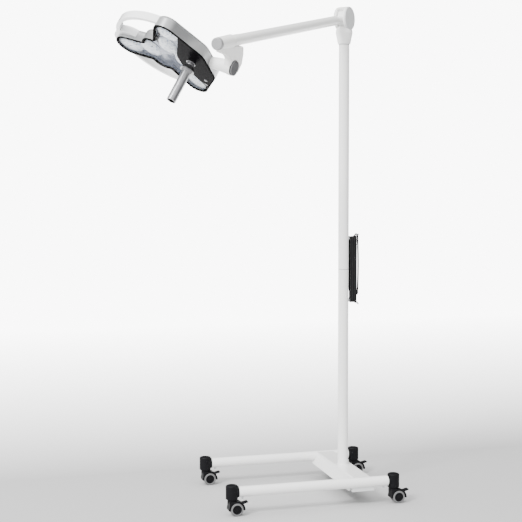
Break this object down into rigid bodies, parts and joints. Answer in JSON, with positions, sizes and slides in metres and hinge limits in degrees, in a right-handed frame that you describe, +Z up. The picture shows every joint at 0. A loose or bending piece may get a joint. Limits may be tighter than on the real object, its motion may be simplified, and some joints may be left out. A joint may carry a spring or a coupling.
{
  "type": "mobile surgical light",
  "caption": "Floor-standing surgical lamp with lobed lamp head, tilting elbow, pitching arm, round mast, castor base and hung power cord.",
  "frame": {"origin": "on the floor, directly under the mast's axis", "axes": "+Z up the mast; +X along the base's legs, away from the lamp head's end; +Y to the rear leg, away from the viewer"},
  "size_m": [1.1717, 0.9617, 1.9725],
  "materials": {
    "white_paint": "smooth white powder coat",
    "grey_paint": "light grey powder coat",
    "head_shell": "white lacquered housing",
    "satin_metal": "satin stainless",
    "zinc_steel": "bright zinc plated",
    "iron": "raw casting",
    "board_metal": "plain sheet",
    "black_plastic": "fine grain moulded",
    "dark_plastic": "fine grain moulded",
    "grey_cap": "fine grain moulded",
    "tyre": "grey thermoplastic tread",
    "panel_gloss": "high gloss",
    "key_cap": "satin key",
    "clear_cover": "clear cover",
    "lens_clear": "moulded lens",
    "bronze": "sintered bushing",
    "cord_rubber": "flexible sheath"
  },
  "bodies": {
    "stand": {"leg_front": "white_paint", "leg_rear": "white_paint", "crossmember": "white_paint", "base_weights": "iron", "leg_plates": "grey_paint", "base_bolts": "zinc_steel", "castor_sockets": "grey_paint", "socket_screws": "zinc_steel", "mast_lower": "white_paint", "mast_upper": "white_paint", "mast_joiner": "satin_metal", "swivel_bush": "bronze", "cord_hooks": "zinc_steel", "cord_gland": "cord_rubber", "cord_lead_in": "cord_rubber", "cord_hank": "cord_rubber", "cord_lead_out": "cord_rubber", "cord_plug": "cord_rubber"},
    "castor_front_left": {"castor_front_left_fork": "black_plastic"},
    "lever_front_left": {"castor_front_left_brake_lever": "black_plastic"},
    "wheel_front_left_outer": {"castor_front_left_wheel_outer": "tyre"},
    "wheel_front_left_inner": {"castor_front_left_wheel_inner": "tyre"},
    "castor_rear_left": {"castor_rear_left_fork": "black_plastic"},
    "lever_rear_left": {"castor_rear_left_brake_lever": "black_plastic"},
    "wheel_rear_left_outer": {"castor_rear_left_wheel_outer": "tyre"},
    "wheel_rear_left_inner": {"castor_rear_left_wheel_inner": "tyre"},
    "castor_front_right": {"castor_front_right_fork": "black_plastic"},
    "lever_front_right": {"castor_front_right_brake_lever": "black_plastic"},
    "wheel_front_right_outer": {"castor_front_right_wheel_outer": "tyre"},
    "wheel_front_right_inner": {"castor_front_right_wheel_inner": "tyre"},
    "castor_rear_right": {"castor_rear_right_fork": "black_plastic"},
    "lever_rear_right": {"castor_rear_right_brake_lever": "black_plastic"},
    "wheel_rear_right_outer": {"castor_rear_right_wheel_outer": "tyre"},
    "wheel_rear_right_inner": {"castor_rear_right_wheel_inner": "tyre"},
    "column": {"column_sleeve": "white_paint", "drum_body": "white_paint", "drum_caps": "grey_cap", "pivot_pin": "satin_metal"},
    "arm": {"arm_root": "white_paint", "arm_tube": "white_paint", "arm_spring": "satin_metal", "arm_collar": "white_paint", "roll_washer": "black_plastic"},
    "elbow_joint": {"elbow": "grey_paint", "elbow_cap": "grey_cap", "tilt_cap": "dark_plastic"},
    "head": {"tilt_barrel": "white_paint", "head_housing": "head_shell", "face_frame": "black_plastic", "front_glass": "clear_cover", "control_panel": "panel_gloss", "led_board": "board_metal", "lens_modules": "lens_clear", "grip_rails": "head_shell"},
    "handle": {"handle_core": "satin_metal"},
    "sleeve": {"handle_sleeve": "satin_metal"},
    "release_key": {"sleeve_button": "dark_plastic"},
    "power_key": {"power_button": "key_cap"},
    "dim_key": {"dim_button": "key_cap"}
  },
  "joints": [
    {"name": "castor_front_left_swivel", "type": "hinge", "parent": "stand", "child": "castor_front_left", "pos_m": [-0.528, -0.23, 0.08], "axis": [0, 0, 1], "continuous": true},
    {"name": "castor_front_left_wheel_outer_roll", "type": "hinge", "parent": "castor_front_left", "child": "wheel_front_left_outer", "pos_m": [-0.511, -0.242, 0.025], "axis": [0, 1, 0], "continuous": true},
    {"name": "castor_front_left_wheel_inner_roll", "type": "hinge", "parent": "castor_front_left", "child": "wheel_front_left_inner", "pos_m": [-0.511, -0.218, 0.025], "axis": [0, 1, 0], "continuous": true},
    {"name": "castor_front_left_brake", "type": "hinge", "parent": "castor_front_left", "child": "lever_front_left", "pos_m": [-0.48833, -0.23, 0.04541], "axis": [0, 1, 0], "range_deg": [0, 18]},
    {"name": "castor_rear_left_swivel", "type": "hinge", "parent": "stand", "child": "castor_rear_left", "pos_m": [-0.528, 0.23, 0.08], "axis": [0, 0, 1], "continuous": true},
    {"name": "castor_rear_left_wheel_outer_roll", "type": "hinge", "parent": "castor_rear_left", "child": "wheel_rear_left_outer", "pos_m": [-0.511, 0.218, 0.025], "axis": [0, 1, 0], "continuous": true},
    {"name": "castor_rear_left_wheel_inner_roll", "type": "hinge", "parent": "castor_rear_left", "child": "wheel_rear_left_inner", "pos_m": [-0.511, 0.242, 0.025], "axis": [0, 1, 0], "continuous": true},
    {"name": "castor_rear_left_brake", "type": "hinge", "parent": "castor_rear_left", "child": "lever_rear_left", "pos_m": [-0.48833, 0.23, 0.04541], "axis": [0, 1, 0], "range_deg": [0, 18]},
    {"name": "castor_front_right_swivel", "type": "hinge", "parent": "stand", "child": "castor_front_right", "pos_m": [0.13, -0.23, 0.08], "axis": [0, 0, 1], "continuous": true},
    {"name": "castor_front_right_wheel_outer_roll", "type": "hinge", "parent": "castor_front_right", "child": "wheel_front_right_outer", "pos_m": [0.147, -0.242, 0.025], "axis": [0, 1, 0], "continuous": true},
    {"name": "castor_front_right_wheel_inner_roll", "type": "hinge", "parent": "castor_front_right", "child": "wheel_front_right_inner", "pos_m": [0.147, -0.218, 0.025], "axis": [0, 1, 0], "continuous": true},
    {"name": "castor_front_right_brake", "type": "hinge", "parent": "castor_front_right", "child": "lever_front_right", "pos_m": [0.16967, -0.23, 0.04541], "axis": [0, 1, 0], "range_deg": [0, 18]},
    {"name": "castor_rear_right_swivel", "type": "hinge", "parent": "stand", "child": "castor_rear_right", "pos_m": [0.13, 0.23, 0.08], "axis": [0, 0, 1], "continuous": true},
    {"name": "castor_rear_right_wheel_outer_roll", "type": "hinge", "parent": "castor_rear_right", "child": "wheel_rear_right_outer", "pos_m": [0.147, 0.218, 0.025], "axis": [0, 1, 0], "continuous": true},
    {"name": "castor_rear_right_wheel_inner_roll", "type": "hinge", "parent": "castor_rear_right", "child": "wheel_rear_right_inner", "pos_m": [0.147, 0.242, 0.025], "axis": [0, 1, 0], "continuous": true},
    {"name": "castor_rear_right_brake", "type": "hinge", "parent": "castor_rear_right", "child": "lever_rear_right", "pos_m": [0.16967, 0.23, 0.04541], "axis": [0, 1, 0], "range_deg": [0, 18]},
    {"name": "mast_swivel", "type": "hinge", "parent": "stand", "child": "column", "pos_m": [0, 0, 1.8], "axis": [0, 0, 1], "range_deg": [-170, 170]},
    {"name": "arm_pitch", "type": "hinge", "parent": "column", "child": "arm", "pos_m": [0, 0, 1.925], "axis": [0.7071, -0.7071, 0], "range_deg": [-42, 20]},
    {"name": "elbow_roll", "type": "hinge", "parent": "arm", "child": "elbow_joint", "pos_m": [-0.65707, -0.65707, 1.72748], "axis": [-0.6917, -0.6917, -0.2079], "range_deg": [-70, 100]},
    {"name": "head_tilt", "type": "hinge", "parent": "elbow_joint", "child": "head", "pos_m": [-0.61834, -0.58119, 1.65404], "axis": [0.7197, -0.6362, -0.2778], "range_deg": [-95, 85]},
    {"name": "handle_turn", "type": "hinge", "parent": "head", "child": "handle", "pos_m": [-0.74082, -0.49388, 1.6659], "axis": [-0.4904, -0.1828, -0.8521], "range_deg": [-45, 45]},
    {"name": "sleeve_slide", "type": "slide", "parent": "handle", "child": "sleeve", "axis": [-0.4904, -0.1828, -0.8521], "range_m": [0, 0.14]},
    {"name": "release_press", "type": "slide", "parent": "sleeve", "child": "release_key", "axis": [-0.4914, -0.7495, 0.4436], "range_m": [0, 0.0025], "stiffness_N_per_m": 900},
    {"name": "power_press", "type": "slide", "parent": "head", "child": "power_key", "axis": [0.4904, 0.1828, 0.8521], "range_m": [0, 0.001], "stiffness_N_per_m": 900},
    {"name": "dim_press", "type": "slide", "parent": "head", "child": "dim_key", "axis": [0.4904, 0.1828, 0.8521], "range_m": [0, 0.001], "stiffness_N_per_m": 900}
  ]
}
